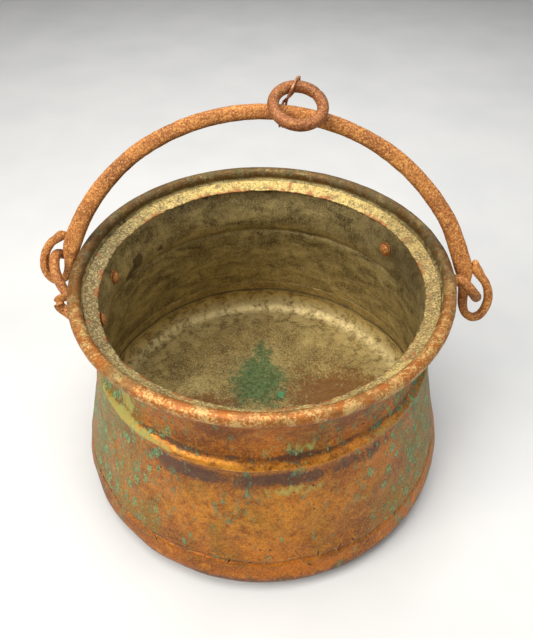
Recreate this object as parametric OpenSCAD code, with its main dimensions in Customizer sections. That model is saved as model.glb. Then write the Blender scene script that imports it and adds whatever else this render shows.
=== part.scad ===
// Hammered copper cauldron with a forged iron bail.
// The ground is the plane z = 0 and the pot stands on the origin.

/* [Pot] */
// Radius of the mouth, to the outside of the rolled rim
mouth_r = 140; // [116:1:142]
// Height of the middle of the rolled rim above the ground
rim_h = 189; // [160:1:230]
// Largest radius of the belly, just above the ground
belly_r = 160; // [154:1:200]
// Radius that rounds the belly into the bottom
corner_r = 18; // [14:1:26]
// Thickness of the copper sheet
sheet_t = 2; // [1.4:0.1:3]
// Height from the rim's middle down to the crease above the shoulder ridge
neck_drop = 55.5; // [46:0.5:60]
// Height of the raised shoulder ridge
ridge_w = 7; // [5:0.5:14]
// How far the shoulder ridge stands out of the wall
ridge_out = 1.3; // [0.8:0.1:3]

/* [Rim] */
// Radius of the iron wire inside the rolled rim
rim_wire_r = 2.6; // [1.6:0.1:3.2]
// Width of the tinned collar inside the mouth
collar_w = 10; // [6:0.5:14]
// How far the collar drops from its outer to its inner edge
collar_drop = 4.5; // [2:0.5:7]
// Thickness of the collar
collar_t = 1.4; // [0.8:0.1:2.4]

/* [Bottom] */
// Height at which the wall meets the bottom dish
seam_h = 36; // [26:1:50]
// Height of the brazed seam between them
seam_w = 1.4; // [0.8:0.1:2.4]
// Height of the dish's edge that laps up inside the wall
lap_h = 9; // [5:0.5:12]
// Thickness of that lapped edge
lap_t = 1.4; // [0.8:0.1:2]

/* [Lugs] */
// Thickness of the round lug rods
lug_d = 7.4; // [6:0.2:8]
// Height of the riveted feet
foot_w = 15; // [12:0.5:18]
// Thickness of the riveted feet
foot_t = 3.4; // [2:0.1:5]
// Radius of the rivet shanks
rivet_r = 2.5; // [1.8:0.1:3]
// Radius of the rivet heads
rivet_head_r = 5; // [4:0.1:5.5]
// How far the rivet heads stand up
rivet_head_h = 2.8; // [1.5:0.1:4]
// Radius of the roves, the washers inside the pot
rove_r = 6.5; // [5.5:0.1:8]
// Thickness of the roves
rove_t = 1.2; // [0.8:0.1:2]

/* [Bail] */
// How far the top of the bail stands above its lower ends
bail_rise = 120.2; // [100:0.2:150]
// How far the bail leans back from upright
bail_lean = 19.1; // [0:0.1:40]
// How far the bail is turned about the upright axis
bail_turn = -2.3; // [-4:0.1:4]
// Width of the bar at the top of the bail
bar_top_w = 10; // [8:0.2:12]
// Width of the bar near its ends
bar_end_w = 12.8; // [10:0.2:15]
// Thickness of the bar at the top of the bail
bar_t = 10.5; // [8:0.1:12]
// Thickness of the bar near its ends
bar_end_t = 8.2; // [7:0.1:10]
// Thickness of the hooks
hook_w = 6.2; // [5:0.1:6.6]

/* [Ring] */
// Radius of the hanging ring, to the middle of its rod
ring_r = 16.6; // [14:0.1:24]
// Radius of the hanging ring's rod
ring_rod_r = 3.9; // [3:0.1:4.4]
// Distance of the ring from the middle of the bail, along the bail
ring_shift = 20.6; // [0:0.1:40]
// How far the ring leans forward out of the bail's top
ring_tilt = 40.8; // [20:0.1:60]
// Thickness of the tie wire
tie_d = 1.8; // [1.2:0.1:2]

/* [Hidden] */
$fn = 96;

copper = "chocolate";
iron = "sienna";
tinned = "darkkhaki";
fit_gap = 0.1;

// Rolled rim: the sheet is wrapped once round the wire
bead_gap = 0.05;
bead_r = rim_wire_r + bead_gap + sheet_t;
bead_c = mouth_r - bead_r;

// Levels of the wall, from the crease above the ridge down to the rounded corner
crease_h = rim_h - neck_drop;
ridge_low = crease_h - ridge_w;
neck_in = 14.5;
crease_r = mouth_r - 10.5;
shoulder_r = mouth_r - 7.2;
corner_c = belly_r - corner_r;
belly_power = 1.16;
corner_lean = 23.5;
corner_top_r = corner_c + corner_r * cos(corner_lean);
corner_top_h = corner_r * (1 + sin(corner_lean));

// Outer radius of the neck at a height, narrowest a little above the crease
neck_top_r = bead_c - 1;
neck_top_h = rim_h - bead_r * 0.55;
neck_low_h = rim_h - 41;
neck_r = mouth_r - neck_in;
function neck_at(h) = h < neck_low_h
    ? neck_r + (crease_r - neck_r) * pow((neck_low_h - h) / (neck_low_h - crease_h), 2)
    : neck_r + (neck_top_r - neck_r) * pow((h - neck_low_h) / (neck_top_h - neck_low_h), 2.2);

// Outer radius of the belly at a height below the ridge
function belly_at(h) = shoulder_r + (corner_top_r - shoulder_r)
    * pow((ridge_low - h) / (ridge_low - corner_top_h), belly_power);

// Points up each stretch of the outline, for a shell moved inwards by a distance
function corner_points(inwards, steps = 10) = [for (i = [0:steps])
    let (a = -90 + (90 + corner_lean) * i / steps)
    [corner_c + (corner_r - inwards) * cos(a), corner_r + (corner_r - inwards) * sin(a)]];
function belly_points(low, high, inwards, steps, first = 0) = [for (i = [first:steps])
    let (h = low + (high - low) * i / steps)
    [belly_at(h) - inwards, h]];
function ridge_points(inwards, steps = 6) = [for (i = [1:steps])
    let (u = i / steps)
    [shoulder_r + (crease_r - shoulder_r) * u * u + ridge_out * sin(180 * u) - inwards,
     ridge_low + ridge_w * u]];
function neck_points(inwards, steps = 12) = [for (i = [1:steps])
    let (h = crease_h + (neck_top_h - crease_h) * i / steps)
    [neck_at(h) - inwards, h]];

// The seam stays above the rounded corner, whatever its radius
seam_low = max(seam_h, corner_top_h + 4);
seam_high = seam_low + seam_w;
lap_root = 5;

function reversed(list) = [for (i = [len(list) - 1:-1:0]) list[i]];
function wall_points(inwards) = concat(belly_points(seam_high, ridge_low, inwards, 12),
    ridge_points(inwards), neck_points(inwards));
function dish_points(inwards) = concat(corner_points(inwards),
    belly_points(corner_top_h, seam_low, inwards, 4, 1));
function band(low, high, outer, inner, steps = 4) = concat(
    belly_points(low, high, outer, steps), reversed(belly_points(low, high, inner, steps)));

module revolve() rotate_extrude(convexity = 6) children();

module rivet_holes(places) {
    for (p = places)
        rotate([0, 0, p[0]]) translate([neck_r, 0, p[1]]) rotate([0, 90, 0])
            cylinder(r = rivet_r + fit_gap, h = 40, center = true);
}

// ---- Pot ----

module copper_wall() {
    color(copper) difference() {
        revolve() {
            polygon(concat(wall_points(0), reversed(wall_points(sheet_t))));
            translate([bead_c, rim_h]) difference() {
                circle(bead_r);
                circle(rim_wire_r + bead_gap);
            }
        }
        rivet_holes(concat(left_rivet_places, right_rivet_places));
    }
}

// The dish is flat where it stands, and its thin edge laps up inside the wall
module bottom_dish() {
    lap_out = sheet_t + fit_gap;
    color(copper) revolve() {
        polygon(concat([[0, 0]], dish_points(0), reversed(dish_points(sheet_t)),
            [[0, sheet_t]]));
        polygon(band(seam_low - lap_root, seam_low + lap_h, lap_out, lap_out + lap_t));
        polygon(band(seam_low - lap_root, seam_low, sheet_t / 2, lap_out + lap_t / 2));
    }
}

// Spelter that fills the cramped joint between wall and dish
module brazed_seam() {
    seam_gap = 0.02;
    color("goldenrod") revolve()
        polygon(band(seam_low + seam_gap, seam_high - seam_gap, 0, sheet_t, 1));
}

module rim_wire() {
    color(iron) translate([0, 0, rim_h]) revolve() translate([bead_c, 0]) circle(rim_wire_r);
}

// Ring of tinned copper that hangs from the rolled rim, inside the neck
collar_top_h = rim_h - bead_r - 0.4;
collar_out_r = neck_at(collar_top_h - 1) - sheet_t - fit_gap;
collar_in_r = collar_out_r - collar_w;
module rim_collar() {
    color(tinned) revolve() polygon([
        [collar_out_r, collar_top_h], [collar_out_r - 0.6, collar_top_h - collar_t],
        [collar_in_r, collar_top_h - collar_drop - collar_t],
        [collar_in_r, collar_top_h - collar_drop]]);
}

// ---- Sweeping a section along a path ----

function unit(v) = v / norm(v);
function spline(p0, p1, p2, p3, t) = 0.5 * (2 * p1 + (p2 - p0) * t
    + (2 * p0 - 5 * p1 + 4 * p2 - p3) * t * t + (3 * p1 - p0 - 3 * p2 + p3) * t * t * t);
// Smooth path through points that may carry more numbers than a place
function smooth_path(pts, steps) = concat([for (i = [0:len(pts) - 2], k = [0:steps - 1])
    spline(pts[max(i - 1, 0)], pts[i], pts[i + 1], pts[min(i + 2, len(pts) - 1)], k / steps)],
    [pts[len(pts) - 1]]);
function smooth_loop(pts, steps) = let (n = len(pts)) [for (i = [0:n - 1], k = [0:steps - 1])
    spline(pts[(i + n - 1) % n], pts[i], pts[(i + 1) % n], pts[(i + 2) % n], k / steps)];
function place(p) = [p[0], p[1], p[2]];

// One ring of the skin: a rounded section across the path, wide along the side direction
function section(p, along, side_hint, wide, deep, sides, power) = let (
    cross_dir = unit(cross(along, side_hint)), side_dir = cross(cross_dir, along))
    [for (k = [0:sides - 1]) let (a = 360 * k / sides,
        x = sign(cos(a)) * pow(abs(cos(a)), 2 / power) * wide / 2,
        y = sign(sin(a)) * pow(abs(sin(a)), 2 / power) * deep / 2)
        p + cross_dir * x + side_dir * y];

// Each path point is [x, y, z, width, depth]; depth lies along side_hint
module sweep(path, side_hint, sides, power = 2, closed = false) {
    n = len(path);
    function near(i) = closed ? place(path[(i + n) % n]) : place(path[min(max(i, 0), n - 1)]);
    skin = [for (i = [0:n - 1]) each section(place(path[i]), unit(near(i + 1) - near(i - 1)),
        side_hint, path[i][3], path[i][4], sides, power)];
    bands = closed ? n : n - 1;
    walls = [for (i = [0:bands - 1], k = [0:sides - 1]) let (
        a = i * sides + k, b = i * sides + (k + 1) % sides,
        c = (a + sides) % (n * sides), d = (b + sides) % (n * sides))
        each [[a, b, c], [b, d, c]]];
    last = (n - 1) * sides;
    caps = closed ? [] : [[for (k = [sides - 1:-1:0]) k],
        [for (k = [0:sides - 1]) last + k]];
    polyhedron(skin, concat(walls, caps), convexity = 8);
}

// ---- Bail ----

bail_origin = [1.5, 9.6, rim_h - 17.8];
bail_half = mouth_r + 13.8;
arch_r = (bail_half * bail_half + bail_rise * bail_rise) / (2 * bail_rise);
arch_c = bail_rise - arch_r;
// Where each lug's rod passes through its hook: outwards and up in the bail's own plane
left_eye = [bail_half + 6.4, 13.8];
right_eye = [bail_half + 9.5, -10.3];

// A point of the bail's plane, x along the span and s up the lean, in the pot's frame
function bail_point(x, s) = bail_origin + [
    x * cos(bail_turn) - s * sin(bail_lean) * sin(bail_turn),
    x * sin(bail_turn) + s * sin(bail_lean) * cos(bail_turn),
    s * cos(bail_lean)];
module on_bail() translate(bail_origin) rotate([0, 0, bail_turn]) rotate([-bail_lean, 0, 0])
    children();

// Hooks run from the tip to the bar: outwards and up from the eye, width, depth
left_hook = [[-8.4, 16.6, 5.2, 6], [-6.4, 15.9, 7.6, 7.4], [-2.2, 13.2, 6.6, 7],
    [3, 9, hook_w, 6.8], [7.8, 1.6, hook_w, 6.8], [10, -8.6, hook_w, 6.8],
    [8, -16.2, hook_w, 6.8], [2.4, -20.4, hook_w, 6.8], [-4, -18.6, hook_w, 6.8],
    [-8.2, -12.2, 6.8, 7.2], [-10.4, -4.4, 8.2, 8.2]];
right_hook = [[-4.4, 25.8, 4.8, 6], [-3, 21.6, 7.6, 7.4], [0.6, 16.6, 6.8, 7],
    [5.6, 10.6, hook_w, 6.8], [9, 2.8, hook_w, 6.8], [9.8, -6, hook_w, 6.8],
    [6.8, -14.8, hook_w, 6.8], [0.8, -18.4, hook_w, 6.8], [-5.6, -14.8, hook_w, 6.8],
    [-9, -6.4, 6.8, 6.8], [-9.9, 3.6, 7.8, 7], [-10.8, 12.6, 9.8, 7.6]];
function hook_path(hook, eye, hand) = [for (p = hook)
    [hand * (eye[0] + p[0]), 0, eye[1] + p[1], p[2], p[3]]];

// The arch between two heights above the bail's lower ends, thicker towards the ends
left_arch_s = 22;
right_arch_s = 13;
arch_steps = 26;
function arch_path(low_left, low_right) = let (
    a0 = 180 - asin((low_left - arch_c) / arch_r), a1 = asin((low_right - arch_c) / arch_r))
    [for (i = [0:arch_steps]) let (a = a0 + (a1 - a0) * i / arch_steps,
        u = abs(cos(a)) / cos(a1))
        [arch_r * cos(a), 0, arch_c + arch_r * sin(a),
         bar_top_w + (bar_end_w - bar_top_w) * u * u, bar_t + (bar_end_t - bar_t) * u * u]];
bail_path = concat(
    smooth_path(concat(hook_path(left_hook, left_eye, -1),
        [arch_path(left_arch_s, right_arch_s)[0]]), 2),
    [for (i = [1:arch_steps - 1]) arch_path(left_arch_s, right_arch_s)[i]],
    smooth_path(concat([arch_path(left_arch_s, right_arch_s)[arch_steps]],
        reversed(hook_path(right_hook, right_eye, 1))), 2));

module bail() {
    color(iron) on_bail() sweep(bail_path, [0, 1, 0], 12, 3);
}

// ---- Lugs ----

lug_h = rim_h - 32;
// The lugs' routes and angles are for this mouth radius
route_mouth_r = 140;
// Lug rods, from one foot over the eye to the other: outwards from the mouth, along, up
left_lug_route = [[-16.5, 42, -31], [-5, 41, -28.5], [7, 36.5, -21], [15.5, 29.5, -11],
    "eye", [16, 6.5, -6.5], [11, -3, -14], [4, -9.5, -22], [-4.5, -13, -28],
    [-12, -13.5, -31]];
right_lug_route = [[-11.2, -17.5, -31], [-3.8, -11, -20], [3.6, -5, -8.4], [9, -7.2, -8.4],
    [15.8, -10, -14.6], [22, -6.6, -23.5], "eye", [21.6, 9.6, -28.6], [13, 20, -28.4],
    [1, 30, -28.8], [-14.5, 37.5, -31]];
left_eye_point = bail_point(-left_eye[0], left_eye[1]);
right_eye_point = bail_point(right_eye[0], right_eye[1]);
// How much more the rim falls back at y than it does at the radius the routes are for
function falls_back(y) = sqrt(mouth_r * mouth_r - y * y) - mouth_r
    - sqrt(route_mouth_r * route_mouth_r - y * y) + route_mouth_r;
function lug_path(route, eye_point, hand) = [for (p = route) let (
    q = p == "eye" ? eye_point
        : [hand * (mouth_r + p[0] + falls_back(p[1])), p[1], rim_h + p[2]])
    [q[0], q[1], q[2], lug_d, lug_d]];

// Angles from the lugs' side of the pot; at other mouth radii they keep their arc length
function left_turn(angle) = 180 + angle * route_mouth_r / mouth_r;
function right_turn(angle) = angle * route_mouth_r / mouth_r;
// Feet as [from, to] angles round the neck, and rivets as [angle, height]
left_feet = [[left_turn(-22), left_turn(-7)], [left_turn(3), left_turn(19)]];
right_feet = [[right_turn(-27), right_turn(-5)], [right_turn(12), right_turn(35)]];
left_rivet_places = [[left_turn(-12), lug_h], [left_turn(10.7), lug_h]];
right_rivet_places = [[right_turn(-22), lug_h], [right_turn(31), lug_h]];

module foot(from, to) {
    steps = 4;
    function face(outwards) = [for (i = [0:steps])
        let (h = lug_h + foot_w * (i / steps - 0.5)) [neck_at(h) + outwards, h]];
    rotate([0, 0, from]) rotate_extrude(angle = to - from, convexity = 4)
        polygon(concat(face(fit_gap + foot_t), reversed(face(fit_gap))));
}

module lug(route, eye_point, hand, feet, places) {
    color(iron) difference() {
        union() {
            sweep(smooth_path(lug_path(route, eye_point, hand), 3), [hand, 0, -1], 10);
            for (f = feet) foot(f[0], f[1]);
            children();
        }
        rivet_holes(places);
    }
}
// The left lug's front foot ends in a thin curl
left_curl = [[-15.5, -38, -33], [-8, -30.5, -31.5], [0, -23.5, -29.5], [6.5, -19, -27],
    [10.2, -17.5, -22], [9.8, -16, -17.8], [6, -13.6, -17.4], [3, -12.6, -19.5]];
module left_lug() {
    lug(left_lug_route, left_eye_point, -1, left_feet, left_rivet_places)
        sweep(smooth_path([for (p = left_curl)
            [-mouth_r - p[0] - falls_back(p[1]), p[1], rim_h + p[2], 3, 8]], 3),
            [0, 0.4, 1], 8, 3);
}
module right_lug() lug(right_lug_route, right_eye_point, 1, right_feet, right_rivet_places);

// ---- Rivets and roves ----

// Each rivet is laid along x, with its inner head at the rove
rove_seat = 0.5;
head_lift = 0.7;
module rivet() {
    in_x = -sheet_t - rove_seat - rove_t - fit_gap;
    out_x = fit_gap + foot_t + head_lift;
    rotate([0, 90, 0]) rotate_extrude() polygon(concat(
        [[0, in_x - rivet_head_h]],
        [for (a = [15:15:90]) [rivet_head_r * sin(a), in_x - rivet_head_h * cos(a)]],
        [[rivet_r, in_x], [rivet_r, out_x]],
        [for (a = [0:15:75]) [rivet_head_r * cos(a), out_x + rivet_head_h * sin(a)]],
        [[0, out_x + rivet_head_h]]));
}
module rove() {
    translate([-sheet_t - rove_seat - rove_t, 0, 0]) rotate([0, 90, 0]) difference() {
        cylinder(r = rove_r, h = rove_t);
        translate([0, 0, -1]) cylinder(r = rivet_r + fit_gap, h = rove_t + 2);
    }
}
module at_places(places) {
    for (p = places)
        rotate([0, 0, p[0]]) translate([neck_at(p[1]), 0, p[1]]) children();
}
module left_rivets() color(iron) at_places(left_rivet_places) rivet();
module right_rivets() color(iron) at_places(right_rivet_places) rivet();
module left_roves() color(iron) at_places(left_rivet_places) rove();
module right_roves() color(iron) at_places(right_rivet_places) rove();

// ---- Hanging ring ----

// The ring lies on the bar; its frame has x along the bar and z away from the bar
bar_reach = max(bar_top_w, bar_t) / 2 * 1.25;
ring_h = bar_reach + ring_rod_r + 0.5;
ring_forward = 2.7;
ring_s = sqrt(arch_r * arch_r - ring_shift * ring_shift) + arch_c;
module on_ring() on_bail() translate([ring_shift, 0, ring_s])
    rotate([0, asin(ring_shift / arch_r), 0]) rotate([ring_tilt, 0, 0]) children();

module hanging_ring() {
    color(iron) on_ring() translate([0, -ring_forward, ring_h])
        rotate_extrude() translate([ring_r, 0]) circle(ring_rod_r);
}

// The tie wire goes round the ring's back, down behind the bar, under it and up in front
tie_off = ring_rod_r + tie_d / 2 + 0.3;
back_y = sqrt(ring_r * ring_r - 16) - ring_forward;
front_y = -sqrt(ring_r * ring_r - 81) - ring_forward;
under = bar_reach + tie_d / 2 + 0.6;
leg_x = 1.1 + (tie_d - 1.8) / 2;
tie_points = [
    [-9, front_y + tie_off * 0.68, ring_h - tie_off * 0.78],
    [-9 + leg_x, front_y + tie_off + 0.2, ring_h - tie_off - 3.5],
    [-9 + leg_x, -under - 0.6, -3.8], [-9 + leg_x, 0, -under], [-9 + leg_x, under * 0.8, -under * 0.62],
    [-9 + leg_x, under + 0.2, 1], [-7.2, back_y - tie_off - 1.9, ring_h - 2.2],
    [-5.4, back_y - tie_off + 0.3, ring_h + 3.1], [-4, back_y, ring_h + tie_off + 0.1],
    [-2.4, back_y + 5, ring_h + 3.6], [-1.6, back_y + 7.9, ring_h + 0.4],
    [-2.2, back_y + 6, ring_h - 3.6], [-4, back_y + 1, ring_h - tie_off - 0.5],
    [-7, back_y - 3.6, ring_h - tie_off - 1.6], [-9 - leg_x, under + 0.2, 0.4],
    [-9 - leg_x, under * 0.8, -under * 0.62], [-9 - leg_x, 0, -under],
    [-9 - leg_x, -under - 0.6, -3.8],
    [-9 - leg_x, front_y + tie_off + 0.2, ring_h - tie_off - 3.5]];
module tie_wire() {
    color("peru") on_ring() sweep(smooth_loop([for (p = tie_points)
        [p[0], p[1], p[2], tie_d, tie_d]], 3), [1, 0.05, 0.02], 8, 2, true);
}

copper_wall();
bottom_dish();
brazed_seam();
rim_wire();
rim_collar();
left_lug();
right_lug();
left_rivets();
right_rivets();
left_roves();
right_roves();
bail();
hanging_ring();
tie_wire();
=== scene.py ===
import math

import bmesh
import bpy
import numpy as np
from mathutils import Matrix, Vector


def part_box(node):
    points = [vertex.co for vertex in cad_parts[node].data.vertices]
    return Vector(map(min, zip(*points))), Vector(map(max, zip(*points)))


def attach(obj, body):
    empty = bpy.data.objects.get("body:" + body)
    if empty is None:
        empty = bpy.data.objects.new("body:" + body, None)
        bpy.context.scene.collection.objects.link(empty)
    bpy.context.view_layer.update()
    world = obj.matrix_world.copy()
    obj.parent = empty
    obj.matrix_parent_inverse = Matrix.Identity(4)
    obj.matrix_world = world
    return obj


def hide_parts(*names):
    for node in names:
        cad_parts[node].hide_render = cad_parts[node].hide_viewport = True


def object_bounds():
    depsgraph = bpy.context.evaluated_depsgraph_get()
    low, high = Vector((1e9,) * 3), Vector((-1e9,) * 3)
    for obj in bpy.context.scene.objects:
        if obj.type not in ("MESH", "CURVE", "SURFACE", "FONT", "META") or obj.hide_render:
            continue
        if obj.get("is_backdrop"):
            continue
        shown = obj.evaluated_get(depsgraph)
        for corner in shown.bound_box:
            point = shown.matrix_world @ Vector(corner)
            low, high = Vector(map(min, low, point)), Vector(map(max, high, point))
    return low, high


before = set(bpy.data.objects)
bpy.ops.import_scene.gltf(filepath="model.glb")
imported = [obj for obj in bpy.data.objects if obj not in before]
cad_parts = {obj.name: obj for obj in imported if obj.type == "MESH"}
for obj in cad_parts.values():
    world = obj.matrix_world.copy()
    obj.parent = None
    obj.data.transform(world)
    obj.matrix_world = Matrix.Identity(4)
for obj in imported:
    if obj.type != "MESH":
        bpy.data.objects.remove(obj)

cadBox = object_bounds()
mm = 0.001

# Sizes shared by the pieces, worked out from the frame

wireLow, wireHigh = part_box("rim_wire")
rimWireR = (wireHigh.z - wireLow.z) / 2
rimH = (wireHigh.z + wireLow.z) / 2
pot = {
    "sheet": 2 * mm,            # thickness of the copper
    "beadGap": 0.05 * mm,
    "neckDrop": 55.5 * mm,      # rim's middle down to the crease
    "ridgeW": 7 * mm,
    "ridgeOut": 1.3 * mm,
    "cornerR": 18 * mm,
    "cornerLean": 23.5,         # degrees at which the corner runs into the belly
    "bellyPower": 1.16,
    "seamH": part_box("brazed_seam")[0].z,     # where wall and bottom meet
    "seamTop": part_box("brazed_seam")[1].z,
    "lapTop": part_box("bottom_dish")[1].z,
    "bellyR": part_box("bottom_dish")[1].x,
    "around": 640,              # grid steps round the pot
    "wobble": 0.7 * mm,         # how far the sheet is out of round
    "dentDepth": 0.34 * mm,     # hammer marks
    "dentSize": 13 * mm,
    "patchR": 0.135,            # where the width of a patch on the wall is measured
}
beadR = rimWireR + pot["beadGap"] + pot["sheet"]
beadC = wireHigh.x - rimWireR
mouthR = beadC + beadR
creaseH = rimH - pot["neckDrop"]
ridgeLow = creaseH - pot["ridgeW"]
neckR = mouthR - 14.5 * mm
creaseR = mouthR - 10.5 * mm
shoulderR = mouthR - 7.2 * mm
cornerC = pot["bellyR"] - pot["cornerR"]
cornerTopR = cornerC + pot["cornerR"] * math.cos(math.radians(pot["cornerLean"]))
cornerTopH = pot["cornerR"] * (1 + math.sin(math.radians(pot["cornerLean"])))
neckTopR = beadC - 1 * mm
neckTopH = rimH - beadR * 0.55
neckLowH = rimH - 41 * mm
lugH = rimH - 32 * mm


# A whole number per lattice point is mixed into a value from 0 to 1
def latticeValue(ix, iy, iz, seed):
    h = (ix.astype(np.int64) * 374761393 + iy.astype(np.int64) * 668265263
         + iz.astype(np.int64) * 2147483647 + seed * 1274126177) & 0xffffffff
    h = ((h ^ (h >> 13)) * 1274126177) & 0xffffffff
    h = ((h ^ (h >> 16)) * 2246822519) & 0xffffffff
    return ((h ^ (h >> 15)) & 0xffffff) / float(0xffffff)


# Value noise: lattice values blended by the smooth step 3t^2 - 2t^3, from -1 to 1
def grain(points, size, seed=0):
    p = np.asarray(points) / size + 1000.0
    base = np.floor(p)
    t = p - base
    t = t * t * (3 - 2 * t)
    base = base.astype(np.int64)
    total = np.zeros(p.shape[:-1])
    for corner in range(8):
        dx, dy, dz = corner & 1, (corner >> 1) & 1, corner >> 2
        weight = (np.abs(1 - dx - t[..., 0]) * np.abs(1 - dy - t[..., 1])
                  * np.abs(1 - dz - t[..., 2]))
        total += weight * latticeValue(base[..., 0] + dx, base[..., 1] + dy, base[..., 2] + dz, seed)
    return total * 2 - 1


# Sum of grain at sizes that halve, each with a share of the one before
def roughness(points, size, octaves=4, share=0.5, seed=0):
    total = 0
    weight = 0
    for k in range(octaves):
        total = total + grain(points, size / 2 ** k, seed + 17 * k) * share ** k
        weight += share ** k
    return total / weight


# Distance to the nearest of a jittered lattice's points, in cells, on a sheet that closes round
def hammerMarks(across, up, cells, seed=0):
    ia, iu = np.floor(across), np.floor(up)
    best = np.full(across.shape, 9.0)
    for da in (-1, 0, 1):
        for du in (-1, 0, 1):
            ca = (ia + da) % cells
            cu = iu + du
            jx = latticeValue(ca, cu, ca * 0, seed)
            ju = latticeValue(ca, cu, ca * 0 + 1, seed)
            gone = np.hypot(across - (ia + da + jx), up - (cu + ju))
            best = np.minimum(best, gone)
    return best


def smoothStep(value, low, high):
    t = np.clip((value - low) / (high - low), 0, 1)
    return t * t * (3 - 2 * t)


# A grid of points becomes quads; it may close round its rows, its columns or both
def gridFaces(rows, columns, closeRows, closeColumns, first=0):
    r = np.arange(rows if closeRows else rows - 1)[:, None]
    c = np.arange(columns if closeColumns else columns - 1)[None, :]
    a = r * columns + c
    b = r * columns + (c + 1) % columns
    d = ((r + 1) % rows) * columns + c
    e = ((r + 1) % rows) * columns + (c + 1) % columns
    return np.stack([a, b, e, d], axis=-1).reshape(-1, 4) + first


# Joins several (points, quads) shells into one
def joinShells(shells):
    points = []
    quads = []
    first = 0
    for shellPoints, shellQuads in shells:
        points.append(shellPoints.reshape(-1, 3))
        quads.append(shellQuads + first)
        first += len(points[-1])
    return np.concatenate(points), np.concatenate(quads)


def makePiece(name, points, quads, material, body, standsFor, fields=None, flip=False):
    points = np.ascontiguousarray(points.reshape(-1, 3), dtype=np.float32)
    quads = np.asarray(quads, dtype=np.int32)
    if flip:
        quads = quads[:, ::-1]
    mesh = bpy.data.meshes.new(name)
    mesh.vertices.add(len(points))
    mesh.vertices.foreach_set("co", points.ravel())
    mesh.loops.add(quads.size)
    mesh.loops.foreach_set("vertex_index", np.ascontiguousarray(quads).ravel())
    mesh.polygons.add(len(quads))
    mesh.polygons.foreach_set("loop_start", np.arange(0, quads.size, 4, dtype=np.int32))
    mesh.update(calc_edges=True)
    for field, values in (fields or {}).items():
        layer = mesh.attributes.new(field, "FLOAT", "POINT")
        layer.data.foreach_set("value", np.ascontiguousarray(values, dtype=np.float32).ravel())
    closed = bmesh.new()
    closed.from_mesh(mesh)
    bmesh.ops.remove_doubles(closed, verts=closed.verts, dist=1e-6)     # poles become one point
    closed.to_mesh(mesh)
    closed.free()
    mesh.polygons.foreach_set("use_smooth", np.ones(len(mesh.polygons), dtype=bool))
    mesh.materials.append(material)
    piece = bpy.data.objects.new(name, mesh)
    bpy.context.scene.collection.objects.link(piece)
    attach(piece, body)
    if standsFor:
        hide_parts(*standsFor)
    return piece


# A wrapped output socket: Python's operators add Math nodes
class Flow:
    def __init__(self, bench, socket):
        self.bench = bench
        self.socket = socket

    def math(self, operation, first, second=None, clamp=False):
        values = {0: first}
        if second is not None:
            values[1] = second
        return self.bench.make("ShaderNodeMath", {"operation": operation, "use_clamp": clamp}, values)

    def __add__(self, other):
        return self.math("ADD", self, other)

    def __radd__(self, other):
        return self.math("ADD", other, self)

    def __sub__(self, other):
        return self.math("SUBTRACT", self, other)

    def __rsub__(self, other):
        return self.math("SUBTRACT", other, self)

    def __mul__(self, other):
        return self.math("MULTIPLY", self, other)

    def __rmul__(self, other):
        return self.math("MULTIPLY", other, self)

    def __truediv__(self, other):
        return self.math("DIVIDE", self, other)

    def __pow__(self, other):
        return self.math("POWER", self, other)

    def either(self, other):
        return self.math("MAXIMUM", self, other)

    def held(self):
        return self.math("ADD", self, 0.0, clamp=True)

    # Rises smoothly from 0 at low to 1 at high
    def rise(self, low, high):
        return self.bench.make("ShaderNodeMapRange", {"interpolation_type": "SMOOTHSTEP"},
                               {"Value": self, "From Min": low, "From Max": high})


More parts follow.
